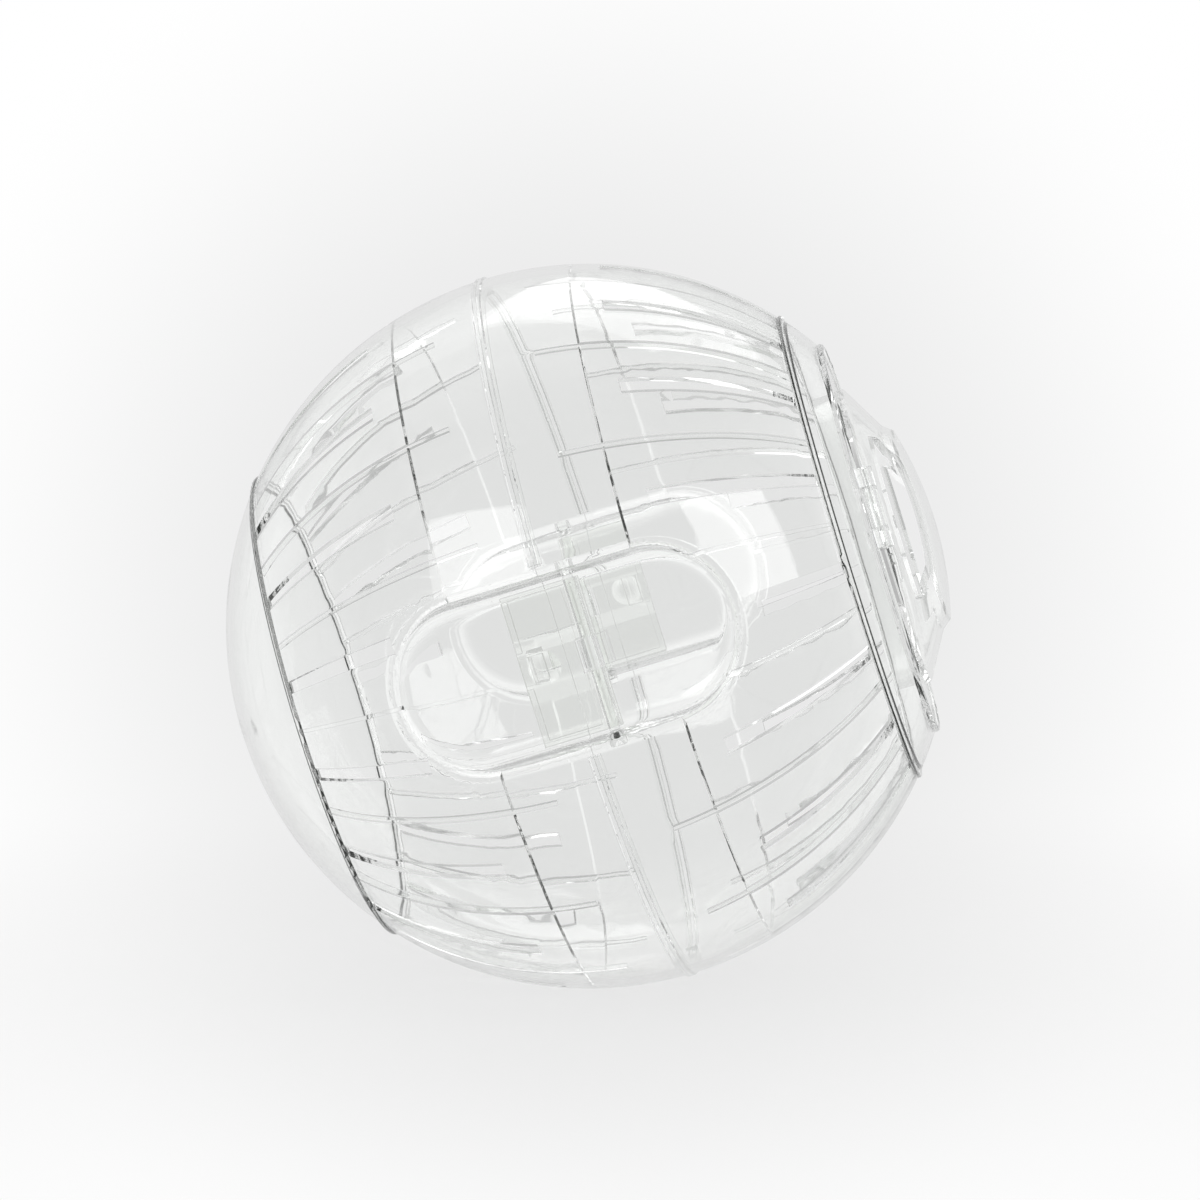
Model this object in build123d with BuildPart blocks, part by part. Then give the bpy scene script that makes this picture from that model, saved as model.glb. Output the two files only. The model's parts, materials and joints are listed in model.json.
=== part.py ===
from build123d import *
import os
from math import asin, atan2, cos, degrees, radians, sin, sqrt, tan

# Clear plastic hamster ball, all lengths in millimetres.
# X is the ball's polar axis with the door at +X, the seam lies in the YZ plane,
# the front latch faces -Y and +Z is up. The origin is the ball's centre.

# Ball
ball_radius = 90.0
wall = 1.5
clearance = 0.3
running_fit = 0.05
overrun = 6.0

# Half shell: belt, ribs, slots, beads and the tongue that lines up the other half
seam_gap = 0.1
belt_wall = 2.2
belt_reach = 22.0
end_depth = 21.2
lap_inset = 1.2
rib_count = 17
rib_height = 1.5
rib_start = 11.7
rib_angle = 0.75
rib_end_gap = 0.6
slot_start = 29.7
slot_margin = 1.8
slot_angle = 2.8
slot_dish_gap = 2.4
seam_bead_width = 1.1
seam_bead_height = 0.5
seam_bead_chamfer = 0.35
seam_bead_gap = 0.6
end_bead_radius = 0.7
end_bead_inset = 0.9
tongue_wall = 1.0
tongue_reach = 1.6
tongue_root = 1.6
tongue_end_angle = 4.0
tongue_dish_gap = 2.4

# Latch dish, an obround recess across the seam
dish_depth = 12.6
dish_half_width = 18.8
dish_end_spacing = 45.9
dish_draft = 3.0
dish_rim_round = 3.0
dish_floor_round = 5.0

# Latch, its pin, bearing and keeper, measured from the seam and up from the dish floor
latch_gap = 0.6
pivot_back = 6.3
pivot_height = 5.4
barrel_radius = 2.4
latch_pin_radius = 1.25
pin_boss_radius = 2.1
pin_boss_depth = 1.6
pin_seat_depth = 2.2
plate_reach = 10.4
plate_thickness = 2.0
lip_width = 1.3
lip_depth = 2.2
ridge_half_base = 7.8
ridge_half_top = 4.1
ridge_height = 0.7
dimple_back = 4.8
dimple_radius = 3.9
dimple_depth = 0.6
hook_half_width = 3.3
hook_tip_height = 4.1
bearing_half_width = 3.7
bearing_reach = 11.0
keeper_half_width = 3.7
keeper_start = 4.8
keeper_flat = 0.9
keeper_ramp = 2.8
keeper_height = 5.5
keeper_slope = 30.0

# Door collar: opening, flange and lip
opening_radius = 36.0
opening_depth = 6.0
flange_width = 13.3
lip_bevel = 1.0
lip_bead_radius = 0.9
lip_bead_sides = 8

# Door lid
lid_overlap = 1.8
lid_recess = 3.6
lid_wall = 1.6
lid_rim = 1.9
lid_gap = 0.2
ring_width = 11.4
ring_rise = 6.5
step_draft = 2.0
window_rim = 6.8
window_cut_in = 6.6
window_trim = 3.25
window_round = 1.4

# Door hinge and snap peg
door_turn = 13.5
hinge_offset = 6.4
hinge_height = 2.3
hinge_half_length = 10.0
hinge_middle = 4.9
knuckle_radius = 2.1
knuckle_root = 1.5
door_pin_radius = 1.0
door_pin_seat = 0.8
tab_length = 5.6
tab_half_width = 6.0
peg_offset = 2.8
peg_radius = 1.4
peg_length = 3.2


def reach(radius, offset):
    """The other leg of a right triangle: how far a sphere reaches at this offset."""
    return sqrt(radius**2 - offset**2)


def meridian(radius, start, end):
    """Arc of a sphere's outline between two places along the polar axis."""
    middle = (start + end) / 2
    ThreePointArc(
        (start, reach(radius, start)),
        (middle, reach(radius, middle)),
        (end, reach(radius, end)),
    )


def around(azimuth):
    """Plane through the polar axis: local x runs along it, local y out from it."""
    turn = radians(azimuth)
    return Plane((0, 0, 0), x_dir=(1, 0, 0), z_dir=(0, -sin(turn), -cos(turn)))


inner_radius = ball_radius - wall
mid_radius = ball_radius - wall / 2
belt_radius = ball_radius - belt_wall
rib_radius = inner_radius - rib_height
shell_edge = ball_radius - end_depth
end_radius = reach(ball_radius, shell_edge)
lap_radius = end_radius - lap_inset
lap_start = reach(inner_radius, lap_radius)
rib_end = lap_start - rib_end_gap
rib_pitch = 360 / rib_count

dish_floor = ball_radius - dish_depth
dish_mouth_half = dish_half_width + dish_depth * tan(radians(dish_draft))
dish_end = dish_end_spacing / 2
tub_half = dish_mouth_half + wall
front_dish = Plane((0, -dish_floor, 0), x_dir=(1, 0, 0), z_dir=(0, -1, 0))
front_side = Plane((0, -dish_floor, 0), x_dir=(-1, 0, 0), z_dir=(0, 0, 1))
rear_side = Plane((0, dish_floor, 0), x_dir=(1, 0, 0), z_dir=(0, 0, 1))
half_turn = (0, 0, 180)

pin_boss_half = tub_half + pin_boss_depth
latch_pin_half = dish_half_width + pivot_height * tan(radians(dish_draft)) + pin_seat_depth

os.makedirs("parts", exist_ok=True)

# The space inside the front dish
with BuildPart() as dish_space:
    with BuildSketch(front_dish):
        SlotCenterToCenter(dish_end_spacing, 2 * dish_half_width)
    extrude(amount=dish_depth + overrun, taper=-dish_draft)
    fillet(dish_space.faces().sort_by(Axis.Y)[-1].edges(), dish_floor_round)

# The room that the front dish and its wall take up
with BuildPart() as dish_block:
    with BuildSketch(front_dish.offset(-wall)):
        SlotCenterToCenter(dish_end_spacing, 2 * (dish_half_width + wall))
    extrude(amount=dish_depth + wall + overrun, taper=-dish_draft)
    fillet(dish_block.faces().sort_by(Axis.Y)[-1].edges(), dish_floor_round + wall)

# The bosses for the ends of the front latch's pin
with BuildPart() as pin_bosses:
    with BuildSketch(front_side):
        with Locations((-pivot_back, pivot_height)):
            Circle(pin_boss_radius)
    extrude(amount=pin_boss_half, both=True)
    add(dish_space.part, mode=Mode.SUBTRACT)

# The belt, which thickens the wall beside the seam and ends in a bevel
belt_foot = belt_reach + belt_wall - wall
seam = seam_gap / 2
with BuildPart() as belt:
    with BuildSketch(Plane.XY):
        with BuildLine():
            meridian(mid_radius, -seam, -belt_foot)
            Polyline(
                (-belt_foot, reach(mid_radius, belt_foot)),
                (-belt_foot, reach(inner_radius, belt_foot)),
                (-belt_reach, reach(belt_radius, belt_reach)),
            )
            meridian(belt_radius, -belt_reach, -seam)
            Line((-seam, reach(belt_radius, seam)), (-seam, reach(mid_radius, seam)))
        make_face()
    revolve(axis=Axis.X)
    add(dish_block.part, mode=Mode.SUBTRACT)
    add(dish_block.part, rotation=half_turn, mode=Mode.SUBTRACT)

# One rib, standing in from the wall
with BuildPart() as rib:
    with BuildSketch(around(rib_angle / 2)):
        with BuildLine():
            meridian(mid_radius, -rib_start, -rib_end)
            Line((-rib_end, reach(mid_radius, rib_end)), (-rib_end, reach(rib_radius, rib_end)))
            meridian(rib_radius, -rib_end, -rib_start)
            Line((-rib_start, reach(rib_radius, rib_start)), (-rib_start, reach(mid_radius, rib_start)))
        make_face()
    revolve(axis=Axis.X, revolution_arc=rib_angle)

# All ribs, clear of the dishes
with BuildPart() as ribs:
    add([rib.part.rotate(Axis.X, index * rib_pitch) for index in range(rib_count)])
    add(dish_block.part, mode=Mode.SUBTRACT)
    add(dish_block.part, rotation=half_turn, mode=Mode.SUBTRACT)


def slot_beginning(azimuth):
    """A slot starts at slot_start, or beyond the dish's wall where it would meet it."""
    sideways = ball_radius * abs(sin(radians(azimuth)))
    if sideways >= tub_half:
        return slot_start
    return max(slot_start, dish_end + reach(tub_half, sideways) + slot_dish_gap)


# Air slots, midway between the ribs
with BuildPart() as slots:
    for index in range(rib_count):
        azimuth = (index + 0.5) * rib_pitch
        begin = slot_beginning(azimuth)
        finish = shell_edge - slot_margin
        with BuildSketch(around(azimuth + slot_angle / 2)):
            with Locations((-(begin + finish) / 2, ball_radius)):
                Rectangle(finish - begin, ball_radius)
        revolve(axis=Axis.X, revolution_arc=slot_angle)

# The raised beads along the seam, stopping short of the dishes, and along the joint with the end piece
bead_angle = degrees(asin((dish_mouth_half + dish_rim_round + seam_bead_gap) / ball_radius))
with BuildPart() as beads:
    for start in (180 - bead_angle, -bead_angle):
        with BuildSketch(around(start)) as bead_profile:
            with Locations((-seam, ball_radius + seam_bead_height)):
                Rectangle(seam_bead_width, wall / 2 + seam_bead_height, align=(Align.MAX, Align.MAX))
            chamfer(bead_profile.vertices().group_by(Axis.Y)[-1].sort_by(Axis.X)[0], seam_bead_chamfer)
        revolve(axis=Axis.X, revolution_arc=180 - 2 * bead_angle)
    bead_place = shell_edge - end_bead_inset
    with BuildSketch(Plane.XY):
        with Locations((-bead_place, reach(ball_radius, bead_place))):
            Circle(end_bead_radius)
    revolve(axis=Axis.X)

# The keeper for the front latch's hook, a ramp on the left half's dish floor
slope = tan(radians(keeper_slope))
keeper_top = keeper_start + keeper_flat
keeper_end = keeper_top + keeper_ramp
with BuildPart() as keeper:
    with BuildSketch(front_side):
        with BuildLine():
            Polyline(
                (keeper_start, -wall / 2),
                (keeper_start, keeper_height),
                (keeper_top, keeper_height),
                (keeper_end, keeper_height - keeper_ramp * slope),
                (keeper_end, -wall / 2),
                close=True,
            )
        make_face()
    extrude(amount=keeper_half_width, both=True)

# The middle bearing of the front latch's pin, on the right half's dish floor
with BuildPart() as bearing:
    with BuildSketch(front_side):
        with Locations((-pivot_back, pivot_height)):
            Circle(barrel_radius)
            Rectangle(bearing_reach - pivot_back, pivot_height + wall / 2, align=(Align.MAX, Align.MAX))
    extrude(amount=bearing_half_width, both=True)


def dish_rims(form, radius):
    """The edges of a form where the side walls of the dishes meet a ball of this radius."""
    def on_rim(edge):
        middle = edge @ 0.5
        on_ball = abs(middle.length - radius) < clearance
        beside = abs(middle.Y) > dish_floor and abs(middle.Z) < tub_half + clearance
        return on_ball and beside and -(dish_end + tub_half + clearance) < middle.X < -clearance

    return form.edges().filter_by(on_rim)


# The hollow of a half shell, with the step that the end piece laps into
with BuildPart() as cavity:
    with BuildSketch(Plane.XY):
        with BuildLine():
            meridian(inner_radius, overrun, -lap_start)
            Polyline(
                (-lap_start, lap_radius),
                (-shell_edge - overrun, lap_radius),
                (-shell_edge - overrun, 0),
                (overrun, 0),
                (overrun, reach(inner_radius, overrun)),
            )
        make_face()
    revolve(axis=Axis.X)
    add(dish_block.part, mode=Mode.SUBTRACT)
    add(dish_block.part, rotation=half_turn, mode=Mode.SUBTRACT)
    fillet(dish_rims(cavity, inner_radius), dish_rim_round - wall)

# Left half shell: belt, ribs, slots, half of each dish, front keeper and the bearings of the rear latch
tongue_radius = belt_radius - clearance
tongue_start = degrees(asin((tub_half + tongue_dish_gap) / tongue_radius))
tongue_arc = 90 - tongue_end_angle - tongue_start
with BuildPart() as left_half_shell:
    with BuildSketch(Plane.XY):
        with BuildLine():
            meridian(ball_radius, -seam, -shell_edge)
            Polyline(
                (-shell_edge, end_radius),
                (-shell_edge, 0),
                (-seam, 0),
                (-seam, reach(ball_radius, seam)),
            )
        make_face()
    revolve(axis=Axis.X)
    add(dish_space.part, mode=Mode.SUBTRACT)
    add(dish_space.part, rotation=half_turn, mode=Mode.SUBTRACT)
    fillet(dish_rims(left_half_shell, ball_radius), dish_rim_round)
    add(cavity.part, mode=Mode.SUBTRACT)
    add(beads.part)
    add(belt.part)
    add(ribs.part)
    add(slots.part, mode=Mode.SUBTRACT)
    add(keeper.part)
    add(bearing.part, rotation=half_turn)
    add(pin_bosses.part, rotation=half_turn)
    for start in (90 - tongue_end_angle, -tongue_start):
        with BuildSketch(around(start)):
            with Locations((tongue_reach, tongue_radius)):
                Rectangle(tongue_reach + tongue_root, tongue_wall, align=(Align.MAX, Align.MAX))
            with Locations((-seam, tongue_radius)):
                Rectangle(tongue_root, tongue_wall, align=(Align.MAX, Align.CENTER))
        revolve(axis=Axis.X, revolution_arc=tongue_arc)
    with BuildSketch(rear_side.offset(-latch_pin_half)):
        with Locations((-pivot_back, pivot_height)):
            Circle(latch_pin_radius + running_fit)
    extrude(amount=latch_pin_half + pin_boss_half + clearance, mode=Mode.SUBTRACT)

# Right half shell: the same moulding turned half round
with BuildPart() as right_half_shell:
    add(left_half_shell.part, rotation=half_turn)

# Left end cap: a plain dome, lapped into the half shell's edge
with BuildPart() as left_end_cap:
    with BuildSketch(Plane.XY):
        with BuildLine():
            meridian(ball_radius, -shell_edge, -ball_radius)
            Line((-ball_radius, 0), (-inner_radius, 0))
            meridian(inner_radius, -inner_radius, -lap_start)
            Polyline((-lap_start, lap_radius), (-shell_edge, lap_radius), (-shell_edge, end_radius))
        make_face()
    revolve(axis=Axis.X)

# Sizes and places along the polar axis that the collar, the lid and the hinge share
lip_radius = opening_radius + flange_width
lid_radius = opening_radius + lid_overlap
hinge_radius = lid_radius + hinge_offset
tab_reach = lid_radius + tab_length
peg_place = lid_radius + peg_offset
lid_sphere = ball_radius - lid_recess
lid_bottom = reach(lid_sphere, lid_radius) - lid_rim
flange_face = lid_bottom - lid_gap
flange_back = flange_face - wall
opening_end = flange_face - opening_depth
lip_edge = reach(ball_radius, lip_radius)
hinge_place = flange_face + hinge_height
hinge_side = around(door_turn)
peg_side = around(door_turn + 180)
face_plane = Plane((0, 0, 0), x_dir=(0, sin(radians(door_turn)), cos(radians(door_turn))), z_dir=(1, 0, 0))

# Door collar: band on the ball, flange round the opening, hinge knuckles and peg hole
with BuildPart() as door_collar:
    with BuildSketch(Plane.XY):
        with BuildLine():
            meridian(ball_radius, shell_edge, lip_edge)
            Polyline(
                (lip_edge, lip_radius),
                (flange_face, lip_radius - lip_bevel),
                (flange_face, opening_radius),
                (opening_end, opening_radius),
                (opening_end, opening_radius + wall),
                (flange_back, opening_radius + wall),
                (flange_back, reach(inner_radius, flange_back)),
            )
            meridian(inner_radius, flange_back, lap_start)
            Polyline((lap_start, lap_radius), (shell_edge, lap_radius), (shell_edge, end_radius))
        make_face()
        with Locations((lip_edge, lip_radius)):
            RegularPolygon(lip_bead_radius, lip_bead_sides)
    revolve(axis=Axis.X)
    with BuildSketch(hinge_side):
        with BuildLine():
            Polyline(
                (flange_back + wall / 2, hinge_radius - knuckle_radius),
                (hinge_place, hinge_radius - knuckle_radius),
                (hinge_place, hinge_radius + knuckle_radius),
                (flange_back + wall / 2, hinge_radius + knuckle_radius + knuckle_root),
                close=True,
            )
        make_face()
        with Locations((hinge_place, hinge_radius)):
            Circle(knuckle_radius)
    extrude(amount=hinge_half_length, both=True)
    with BuildSketch(hinge_side):
        with Locations((flange_face, hinge_radius)):
            Rectangle(
                hinge_height + 2 * knuckle_radius,
                2 * (knuckle_radius + knuckle_root + clearance),
                align=(Align.MIN, Align.CENTER),
            )
    extrude(amount=hinge_middle + clearance, both=True, mode=Mode.SUBTRACT)
    with BuildSketch(hinge_side.offset(hinge_half_length - door_pin_seat)):
        with Locations((hinge_place, hinge_radius)):
            Circle(door_pin_radius + running_fit)
    extrude(amount=-(2 * hinge_half_length + overrun), mode=Mode.SUBTRACT)
    with BuildSketch(face_plane.offset(flange_back - overrun)):
        with Locations((0, -peg_place)):
            Circle(peg_radius + clearance)
    extrude(amount=wall + 2 * overrun, mode=Mode.SUBTRACT)

# Door lid: recessed ring, raised middle, two finger windows, hinge leaf and snap tab
step_radius = lid_radius - ring_width
step_top_radius = step_radius - step_draft
ring_edge = lid_bottom + lid_rim
ring_top = ring_edge + ring_rise
ring_slope = atan2(ring_rise, ring_width)
wall_back = lid_wall * cos(ring_slope)
wall_in = lid_wall * sin(ring_slope)
raised_edge = reach(ball_radius, step_top_radius)
raised_inner = ball_radius - lid_wall
raised_inner_edge = reach(raised_inner, step_top_radius - wall_in)
window_outer = lid_radius - window_rim
window_inner = step_radius - window_cut_in
window_half_length = reach(window_outer, window_inner) - window_trim
with BuildPart() as door_lid:
    with BuildSketch(Plane.XY):
        with BuildLine():
            Polyline(
                (lid_bottom, lid_radius),
                (ring_edge, lid_radius),
                (ring_top, step_radius),
                (raised_edge, step_top_radius),
            )
            meridian(ball_radius, raised_edge, ball_radius)
            Line((ball_radius, 0), (raised_inner, 0))
            meridian(raised_inner, raised_inner, raised_inner_edge)
            Polyline(
                (raised_inner_edge, step_top_radius - wall_in),
                (ring_top - wall_back, step_radius - wall_in),
                (ring_edge - wall_back, lid_radius - wall_in),
                (lid_bottom, lid_radius - wall_in),
                (lid_bottom, lid_radius),
            )
        make_face()
    revolve(axis=Axis.X)
    for side in (1, -1):
        with BuildSketch(face_plane) as window:
            with Locations((0, side * window_inner)):
                Rectangle(
                    2 * window_half_length,
                    window_outer - window_inner,
                    align=(Align.CENTER, Align.MIN if side > 0 else Align.MAX),
                )
            Circle(window_outer, mode=Mode.INTERSECT)
            fillet(window.vertices(), window_round)
        extrude(amount=ball_radius + overrun, mode=Mode.SUBTRACT)
    with BuildSketch(hinge_side):
        with Locations((lid_bottom, hinge_radius)):
            Rectangle(lid_rim, hinge_radius - lid_radius + lid_wall, align=(Align.MIN, Align.MAX))
        with Locations((hinge_place, hinge_radius)):
            Circle(knuckle_radius)
            Circle(door_pin_radius + running_fit, mode=Mode.SUBTRACT)
    extrude(amount=hinge_middle, both=True)
    with BuildSketch(peg_side):
        with Locations((lid_bottom, tab_reach)):
            Rectangle(lid_rim, tab_reach - lid_radius + lid_wall, align=(Align.MIN, Align.MAX))
    extrude(amount=tab_half_width, both=True)
    with BuildSketch(face_plane.offset(lid_bottom)):
        with Locations((0, -peg_place)):
            Circle(peg_radius)
    extrude(amount=-peg_length)

# Door hinge pin
with BuildPart() as door_hinge_pin:
    with BuildSketch(hinge_side.offset(hinge_half_length - door_pin_seat)):
        with Locations((hinge_place, hinge_radius)):
            Circle(door_pin_radius)
    extrude(amount=-(2 * hinge_half_length - door_pin_seat))

# Front latch: barrel on its pin, tray-shaped plate with a thumb ridge, and a hook over the keeper
plate_top = pivot_height + barrel_radius
plate_under = plate_top - plate_thickness
latch_half = dish_half_width - latch_gap
hook_lift = keeper_height + clearance / cos(radians(keeper_slope))
hook_root = keeper_top + (hook_lift - plate_under) / slope
hook_tip = keeper_top + (hook_lift - hook_tip_height) / slope
notch_side = barrel_radius + clearance - pivot_back
ridge_end = Plane((pivot_back, -(dish_floor + plate_top), 0), x_dir=(0, 0, -1), z_dir=(-1, 0, 0))
with BuildPart() as front_latch:
    with BuildSketch(front_side):
        with Locations((-pivot_back, pivot_height)):
            Circle(barrel_radius)
        with Locations((-pivot_back, plate_top)):
            Rectangle(pivot_back + plate_reach, plate_thickness + lip_depth, align=(Align.MIN, Align.MAX))
    extrude(amount=latch_half, both=True)
    with BuildSketch(front_side):
        with Locations((barrel_radius - pivot_back, plate_under)):
            Rectangle(
                pivot_back + plate_reach - barrel_radius - lip_width,
                lip_depth + overrun,
                align=(Align.MIN, Align.MAX),
            )
    extrude(amount=latch_half - lip_width, both=True, mode=Mode.SUBTRACT)
    with BuildSketch(front_side):
        with Locations((plate_reach, plate_under)):
            Rectangle(2 * lip_width, lip_depth + overrun, align=(Align.CENTER, Align.MAX))
    extrude(amount=keeper_half_width + 2 * clearance, both=True, mode=Mode.SUBTRACT)
    with BuildSketch(front_side):
        with BuildLine():
            Polyline(
                (hook_root, plate_under),
                (hook_tip, hook_tip_height),
                (plate_reach, hook_tip_height),
                (plate_reach, plate_top),
                (hook_root, plate_top),
                close=True,
            )
        make_face()
    extrude(amount=hook_half_width, both=True)
    with BuildSketch(ridge_end):
        with BuildLine():
            Polyline(
                (-ridge_half_base, -plate_thickness / 2),
                (-ridge_half_base, 0),
                (-ridge_half_top, ridge_height),
                (ridge_half_top, ridge_height),
                (ridge_half_base, 0),
                (ridge_half_base, -plate_thickness / 2),
                close=True,
            )
        make_face()
    extrude(amount=pivot_back + plate_reach)
    dimple_ball = (dimple_radius**2 + dimple_depth**2) / (2 * dimple_depth)
    dimple_out = dish_floor + plate_top + ridge_height - dimple_depth + dimple_ball
    with Locations((-dimple_back, -dimple_out, 0)):
        Sphere(dimple_ball, mode=Mode.SUBTRACT)
    with BuildSketch(front_side):
        with Locations((notch_side, pivot_height)):
            Rectangle(2 * overrun, 2 * overrun, align=(Align.MAX, Align.CENTER))
    extrude(amount=bearing_half_width + clearance, both=True, mode=Mode.SUBTRACT)
    with BuildSketch(front_side):
        with Locations((-pivot_back, pivot_height)):
            Circle(latch_pin_radius + running_fit)
    extrude(amount=latch_half, both=True, mode=Mode.SUBTRACT)

# Front latch pin, its lower end on the floor of the blind boss
with BuildPart() as front_latch_pin:
    with BuildSketch(front_side):
        with Locations((-pivot_back, pivot_height)):
            Circle(latch_pin_radius)
    extrude(amount=latch_pin_half, both=True)

# Rear latch and pin: the front ones turned half round, carried by the left half
with BuildPart() as rear_latch:
    add(front_latch.part, rotation=half_turn)

with BuildPart() as rear_latch_pin:
    add(front_latch_pin.part, rotation=half_turn)

pieces = {
    "left_half_shell": left_half_shell,
    "left_end_cap": left_end_cap,
    "right_half_shell": right_half_shell,
    "door_collar": door_collar,
    "door_lid": door_lid,
    "door_hinge_pin": door_hinge_pin,
    "front_latch": front_latch,
    "front_latch_pin": front_latch_pin,
    "rear_latch": rear_latch,
    "rear_latch_pin": rear_latch_pin,
}
for name, piece in pieces.items():
    piece.part.label = name
    export_step(piece.part, f"parts/{name}.step")
    print(name, round(piece.part.volume), "mm3,", len(piece.part.solids()), "solid")
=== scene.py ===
# %% [markdown]
# # A clear plastic hamster ball
# The object is a hollow ball moulded in clear plastic: two slotted half shells, an end cap, a collar with a
# hinged door and two latches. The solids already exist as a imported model, so this script loads them, lights
# them like a product photograph and gives every piece its finish. Clear plastic is seen only by what it
# bends and reflects, so most of the work is in the surroundings.

# %% Load the frame
import json
from math import pi, radians

import bpy
from mathutils import Matrix, Vector


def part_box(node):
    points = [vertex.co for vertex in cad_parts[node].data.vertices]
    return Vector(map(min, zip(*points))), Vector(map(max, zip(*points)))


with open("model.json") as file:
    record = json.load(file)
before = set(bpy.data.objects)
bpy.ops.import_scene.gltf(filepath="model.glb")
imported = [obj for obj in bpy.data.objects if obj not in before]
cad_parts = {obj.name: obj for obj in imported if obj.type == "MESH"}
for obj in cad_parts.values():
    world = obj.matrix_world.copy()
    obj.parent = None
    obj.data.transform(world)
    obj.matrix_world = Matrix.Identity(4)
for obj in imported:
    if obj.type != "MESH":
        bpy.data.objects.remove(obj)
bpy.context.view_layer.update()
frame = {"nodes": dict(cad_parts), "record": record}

scene = bpy.context.scene
scene.view_settings.view_transform = "Standard"
nodes = frame["nodes"]
cap_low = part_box("left_end_cap")[0]
ball_radius = -cap_low.x
print(f"{len(nodes)} pieces, ball radius {ball_radius:.4f} m")

# %% [markdown]
# ## The camera
# The ball lies with its polar axis tilted, so in the photograph that axis climbs to the right. A long lens
# from well away keeps the outline round. The camera is built from three directions: towards the viewer, to
# the right and up. Turning right and up together about the viewing line gives the tilt of the picture.

# %% Camera at the photograph's angle
viewing = Vector((0.0875, -0.9937, 0.0695)).normalized()
picture_tilt = radians(16.93)
distance_in_radii = 15
camera_distance = distance_in_radii * ball_radius
lens = 162.8
sensor = 36.0
picture_width = 1200
ball_pixel = Vector((588.5, 626.0))

polar = Vector((1, 0, 0))
along = (polar - polar.dot(viewing) * viewing).normalized()
across = viewing.cross(along)
right = Matrix.Rotation(-picture_tilt, 3, viewing) @ along
up = Matrix.Rotation(-picture_tilt, 3, viewing) @ across

metres_per_pixel = camera_distance * sensor / lens / picture_width
offset = Vector((picture_width / 2, picture_width / 2)) - ball_pixel
aim = right * offset.x * metres_per_pixel - up * offset.y * metres_per_pixel

camera_data = bpy.data.cameras.new("camera")
camera_data.lens = lens
camera_data.sensor_width = sensor
camera = bpy.data.objects.new("camera", camera_data)
scene.collection.objects.link(camera)
turn = Matrix((right, up, viewing)).transposed()
camera.matrix_world = Matrix.Translation(aim + viewing * camera_distance) @ turn.to_4x4()
scene.camera = camera
print("camera at", [round(c, 3) for c in camera.location])

# %% [markdown]
# ## Building node trees
# Materials and the world are node trees. Two small helpers keep the later cells short: one adds a node and
# sets its values, the other joins two sockets.

# %% Node helpers


def add_node(tree, kind, settings=None, **values):
    """Adds a node, sets its properties from settings and its named inputs from values."""
    node = tree.nodes.new(kind)
    for name, value in (settings or {}).items():
        setattr(node, name, value)
    for name, value in values.items():
        node.inputs[name.replace("_", " ")].default_value = value
    return node


def join(tree, source, target):
    """Links an output socket to an input socket."""
    tree.links.new(source, target)


print("helpers ready")

# %% [markdown]
# ## The studio round the ball
# The photograph's background is a light grey behind the ball that fades to white at the borders, as a paper
# sweep in a dimmer room would look. The world holds both. What the camera sees, and what it sees straight
# through the plastic, is the white sweep. Light that was reflected on its way sees the room instead, which
# is bright behind the ball and darker towards the camera, and that draws the dark lines.

# %% World
sweep_middle = 0.815
sweep_border = 1.0
sweep_start = 0.035
sweep_end = 0.14
room_dark = 0.48
room_bright = 0.78
room_start = -0.2
room_end = 0.75
one_reflection = 0.5
fill_light = 0.75


def grey(value):
    """A neutral colour."""
    return (value, value, value, 1)


world = bpy.data.worlds.new("studio")
scene.world = world
world.use_nodes = True
tree = world.node_tree
tree.nodes.clear()
direction = add_node(tree, "ShaderNodeTexCoord")
path = add_node(tree, "ShaderNodeLightPath")

away = add_node(tree, "ShaderNodeVectorMath", {"operation": "DISTANCE"})
away.inputs[1].default_value = -viewing
join(tree, direction.outputs["Generated"], away.inputs[0])
sweep_blend = add_node(tree, "ShaderNodeMapRange", {"interpolation_type": "SMOOTHSTEP"})
sweep_blend.inputs["From Min"].default_value = sweep_start
sweep_blend.inputs["From Max"].default_value = sweep_end
join(tree, away.outputs["Value"], sweep_blend.inputs["Value"])
sweep = add_node(tree, "ShaderNodeMix", {"data_type": "RGBA"})
sweep.inputs[6].default_value = grey(sweep_middle)
sweep.inputs[7].default_value = grey(sweep_border)
join(tree, sweep_blend.outputs["Result"], sweep.inputs["Factor"])

towards = add_node(tree, "ShaderNodeVectorMath", {"operation": "DOT_PRODUCT"})
towards.inputs[1].default_value = -viewing
join(tree, direction.outputs["Generated"], towards.inputs[0])
room_blend = add_node(tree, "ShaderNodeMapRange", {"interpolation_type": "SMOOTHSTEP"})
room_blend.inputs["From Min"].default_value = room_start
room_blend.inputs["From Max"].default_value = room_end
join(tree, towards.outputs["Value"], room_blend.inputs["Value"])
room = add_node(tree, "ShaderNodeMix", {"data_type": "RGBA"})
room.inputs[6].default_value = grey(room_dark)
room.inputs[7].default_value = grey(room_bright)
join(tree, room_blend.outputs["Result"], room.inputs["Factor"])

unreflected = add_node(tree, "ShaderNodeMath", {"operation": "LESS_THAN"})
unreflected.inputs[1].default_value = one_reflection
join(tree, path.outputs["Glossy Depth"], unreflected.inputs[0])
straight = add_node(tree, "ShaderNodeMath", {"operation": "MULTIPLY"})
join(tree, path.outputs["Is Transmission Ray"], straight.inputs[0])
join(tree, unreflected.outputs["Value"], straight.inputs[1])
seen = add_node(tree, "ShaderNodeMath", {"operation": "MAXIMUM"})
join(tree, path.outputs["Is Camera Ray"], seen.inputs[0])
join(tree, straight.outputs["Value"], seen.inputs[1])

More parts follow.
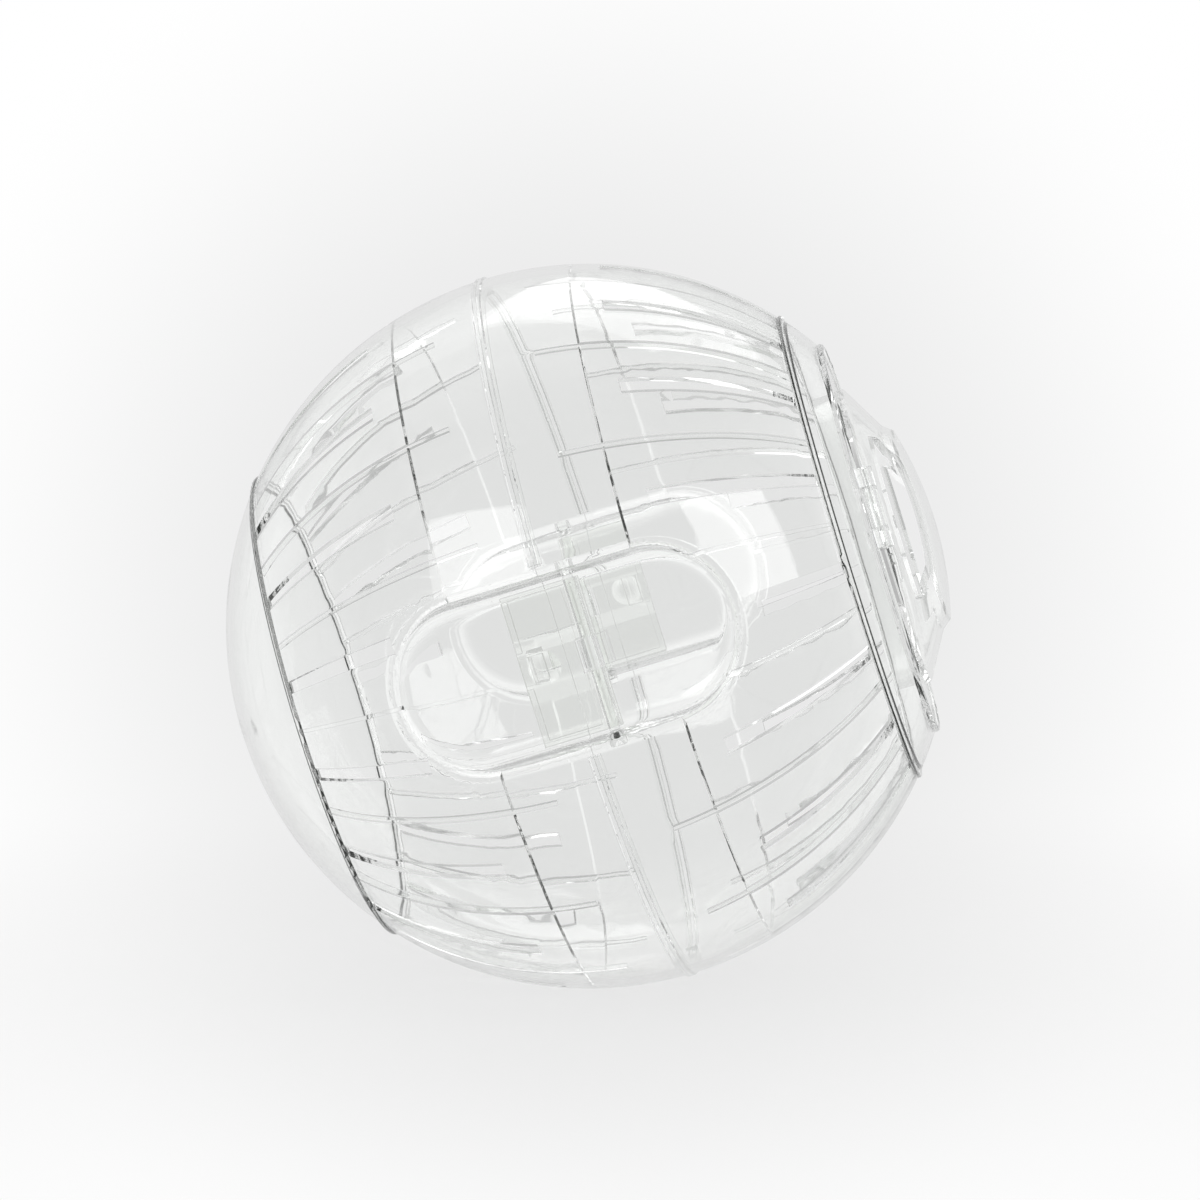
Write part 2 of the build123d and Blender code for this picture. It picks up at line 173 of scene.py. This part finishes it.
lit = add_node(tree, "ShaderNodeMix", {"data_type": "RGBA"})
lit.inputs[7].default_value = grey(fill_light)
join(tree, path.outputs["Is Diffuse Ray"], lit.inputs["Factor"])
join(tree, room.outputs[2], lit.inputs[6])
shown = add_node(tree, "ShaderNodeMix", {"data_type": "RGBA"})
join(tree, seen.outputs["Value"], shown.inputs["Factor"])
join(tree, lit.outputs[2], shown.inputs[6])
join(tree, sweep.outputs[2], shown.inputs[7])
background = add_node(tree, "ShaderNodeBackground", Strength=1.0)
join(tree, shown.outputs[2], background.inputs["Color"])
output = add_node(tree, "ShaderNodeOutputWorld")
join(tree, background.outputs["Background"], output.inputs["Surface"])
print("world has", len(tree.nodes), "nodes")

# %% [markdown]
# ## Soft boxes
# Three large soft boxes draw the pale patches on the plastic: one each side of the camera and one above and
# a little behind. Each shows twice, upright on the front of the ball and upside down on the hollow far side.
# A mirror ball shows every direction at one known spot, so moving a box moves its patch in a plain way.

# %% Area lights
light_distance = 1.6
soft_boxes = {
    "left_box": (Vector((-0.55, 0.36, 0.76)), 0.85, 0.75, 2.05),
    "right_box": (Vector((0.72, 0.42, 0.55)), 0.75, 0.85, 2.05),
    "top_box": (Vector((0.10, 0.85, -0.50)), 1.15, 0.85, 0.9),
}
for name, (place, width, height, radiance) in soft_boxes.items():
    towards_light = (right * place.x + up * place.y + viewing * place.z).normalized()
    data = bpy.data.lights.new(name, "AREA")
    data.shape = "RECTANGLE"
    data.size = width
    data.size_y = height
    data.energy = radiance * pi * width * height
    box_light = bpy.data.objects.new(name, data)
    scene.collection.objects.link(box_light)
    facing = towards_light.to_track_quat("Z", "Y").to_matrix().to_4x4()
    box_light.matrix_world = Matrix.Translation(towards_light * light_distance) @ facing
print(len(soft_boxes), "soft boxes")

# %% [markdown]
# ## The floor
# The floor catches the faint real shadow of the ball from the lamps. It is a disc under the ball, level in
# the picture, that is mostly see-through and fades out before its rim, so the white sweep of the world
# carries on without an edge. Its grey paper is darker than the sweep and shows most right under the ball, so
# it also paints a soft pool of shade round the contact.

# %% Floor disc
floor_radius = 4.0
floor_fade = 0.42
shade_pool_weight = 0.24
floor_sides = 96
floor_gap = 0.001
# painted shade: this grey paper is darker than the sweep, so the disc darkens round the contact even where no
# lamp shadow falls
shaded_paper_tone = 0.7

bpy.ops.mesh.primitive_circle_add(vertices=floor_sides, radius=floor_radius, fill_type="NGON")
floor = bpy.context.object
floor.name = "floor"
floor_lift = radians(5.0)
floor_up = (Matrix.Rotation(floor_lift, 3, right) @ up).normalized()
floor_turn = floor_up.to_track_quat("Z", "Y").to_matrix().to_4x4()
floor.matrix_world = Matrix.Translation(-floor_up * (ball_radius + floor_gap)) @ floor_turn

material = bpy.data.materials.new("floor")
material.use_nodes = True
tree = material.node_tree
tree.nodes.clear()
place = add_node(tree, "ShaderNodeTexCoord")
distance = add_node(tree, "ShaderNodeVectorMath", {"operation": "LENGTH"})
join(tree, place.outputs["Object"], distance.inputs[0])
# the paper's weight is highest under the ball and fades to nothing, which shapes both the real shadow's
# visibility and the painted shade pool
fade = add_node(tree, "ShaderNodeMapRange", {"interpolation_type": "SMOOTHSTEP"})
fade.inputs["From Min"].default_value = 0.0
fade.inputs["From Max"].default_value = floor_fade
fade.inputs["To Min"].default_value = shade_pool_weight
fade.inputs["To Max"].default_value = 0.0
join(tree, distance.outputs["Value"], fade.inputs["Value"])
clear = add_node(tree, "ShaderNodeBsdfTransparent")
paper = add_node(tree, "ShaderNodeBsdfDiffuse", Color=grey(shaded_paper_tone))
blend = add_node(tree, "ShaderNodeMixShader")
join(tree, fade.outputs["Result"], blend.inputs["Fac"])
join(tree, clear.outputs["BSDF"], blend.inputs[1])
join(tree, paper.outputs["BSDF"], blend.inputs[2])
output = add_node(tree, "ShaderNodeOutputMaterial")
join(tree, blend.outputs["Shader"], output.inputs["Surface"])
floor.data.materials.append(material)
print("floor", floor_radius, "m")

# %% [markdown]
# ## Ripple and scuffs
# Moulded plastic is never optically flat. Its faces ripple a little, so edges seen through them look slightly
# wavy. Handling leaves faint scuffs that are less glossy. Both effects are used by every clear material, so
# each is a node group that puts out one value.

# %% Shared node groups
scuff_start = 0.60
scuff_end = 0.78


def new_group(name, inputs, result):
    """Starts a shader node group with named number inputs and one number output."""
    group = bpy.data.node_groups.new(name, "ShaderNodeTree")
    for label, value in inputs.items():
        socket = group.interface.new_socket(label, in_out="INPUT", socket_type="NodeSocketFloat")
        socket.default_value = value
    group.interface.new_socket(result, in_out="OUTPUT", socket_type="NodeSocketFloat")
    return group


ripple = new_group("mould ripple", {"Scale": 90.0, "Detail": 1.0}, "Height")
given = add_node(ripple, "NodeGroupInput")
place = add_node(ripple, "ShaderNodeTexCoord")
waves = add_node(ripple, "ShaderNodeTexNoise", Roughness=0.4)
join(ripple, place.outputs["Object"], waves.inputs["Vector"])
join(ripple, given.outputs["Scale"], waves.inputs["Scale"])
join(ripple, given.outputs["Detail"], waves.inputs["Detail"])
result = add_node(ripple, "NodeGroupOutput")
join(ripple, waves.outputs["Fac"], result.inputs["Height"])

scuffs = new_group("handling scuffs", {"Clean": 0.02, "Scuffed": 0.10, "Scale": 60.0}, "Roughness")
given = add_node(scuffs, "NodeGroupInput")
place = add_node(scuffs, "ShaderNodeTexCoord")
streaks = add_node(scuffs, "ShaderNodeTexNoise", Detail=6.0, Roughness=0.75)
join(scuffs, place.outputs["Object"], streaks.inputs["Vector"])
join(scuffs, given.outputs["Scale"], streaks.inputs["Scale"])
patches = add_node(scuffs, "ShaderNodeMapRange", {"interpolation_type": "SMOOTHSTEP"})
patches.inputs["From Min"].default_value = scuff_start
patches.inputs["From Max"].default_value = scuff_end
join(scuffs, streaks.outputs["Fac"], patches.inputs["Value"])
join(scuffs, given.outputs["Clean"], patches.inputs["To Min"])
join(scuffs, given.outputs["Scuffed"], patches.inputs["To Max"])
result = add_node(scuffs, "NodeGroupOutput")
join(scuffs, patches.outputs["Result"], result.inputs["Roughness"])
print("groups:", ripple.name, "and", scuffs.name)

# %% [markdown]
# ## Clear plastic
# Every piece is taken as the same clear polystyrene, so one function makes all the materials, and only the
# ripple, the scuffs and a trace of tint differ. The Principled shader does the refraction. Shadow rays pass
# through a Transparent shader instead, because a clear ball throws a light shadow and not a black one.

# %% Materials
refraction = 1.5
shadow_tint = 0.90


def clear_plastic(name, tint, ripple_height, ripple_scale, scuffed):
    """Clear plastic with its own ripple, scuffs and tint."""
    material = bpy.data.materials.new(name)
    material.use_nodes = True
    tree = material.node_tree
    tree.nodes.clear()
    waves = add_node(tree, "ShaderNodeGroup", {"node_tree": ripple}, Scale=ripple_scale)
    bump = add_node(tree, "ShaderNodeBump", Strength=1.0, Distance=ripple_height)
    join(tree, waves.outputs["Height"], bump.inputs["Height"])
    wear = add_node(tree, "ShaderNodeGroup", {"node_tree": scuffs}, Scuffed=scuffed)
    plastic = add_node(tree, "ShaderNodeBsdfPrincipled", IOR=refraction, Base_Color=tint)
    plastic.inputs["Transmission Weight"].default_value = 1.0
    join(tree, wear.outputs["Roughness"], plastic.inputs["Roughness"])
    join(tree, bump.outputs["Normal"], plastic.inputs["Normal"])
    path = add_node(tree, "ShaderNodeLightPath")
    through = add_node(tree, "ShaderNodeBsdfTransparent", Color=grey(shadow_tint))
    blend = add_node(tree, "ShaderNodeMixShader")
    join(tree, path.outputs["Is Shadow Ray"], blend.inputs["Fac"])
    join(tree, plastic.outputs["BSDF"], blend.inputs[1])
    join(tree, through.outputs["BSDF"], blend.inputs[2])
    output = add_node(tree, "ShaderNodeOutputMaterial")
    join(tree, blend.outputs["Shader"], output.inputs["Surface"])
    return material


finishes = {
    "clear_shell": clear_plastic("clear_shell", (0.985, 0.99, 0.985, 1), 0.00002, 90.0, 0.08),
    "clear_door": clear_plastic("clear_door", (0.985, 0.99, 0.985, 1), 0.00002, 110.0, 0.08),
    "clear_latch": clear_plastic("clear_latch", (0.955, 0.965, 0.95, 1), 0.00002, 160.0, 0.12),
    "clear_pin": clear_plastic("clear_pin", (0.98, 0.985, 0.98, 1), 0.00001, 200.0, 0.05),
}
for part in frame["record"]["subparts"]:
    mesh = nodes[part["node"]].data
    mesh.materials.clear()
    mesh.materials.append(finishes[part["material_slot"]])
print(len(finishes), "clear finishes on", len(nodes), "pieces")

# %% [markdown]
# ## Light paths
# A ray that goes right through the ball crosses the walls, ribs and latches many times, and one that is
# caught between the two faces of a thin wall runs along it like light in a fibre. With too few bounces such
# rays end inside the plastic and draw black bands, so the limits are raised far above the default.

# %% Bounce limits
bounce_limit = 128

scene.cycles.max_bounces = bounce_limit
scene.cycles.transmission_bounces = bounce_limit
scene.cycles.glossy_bounces = bounce_limit
scene.cycles.transparent_max_bounces = bounce_limit
print("bounces", bounce_limit)
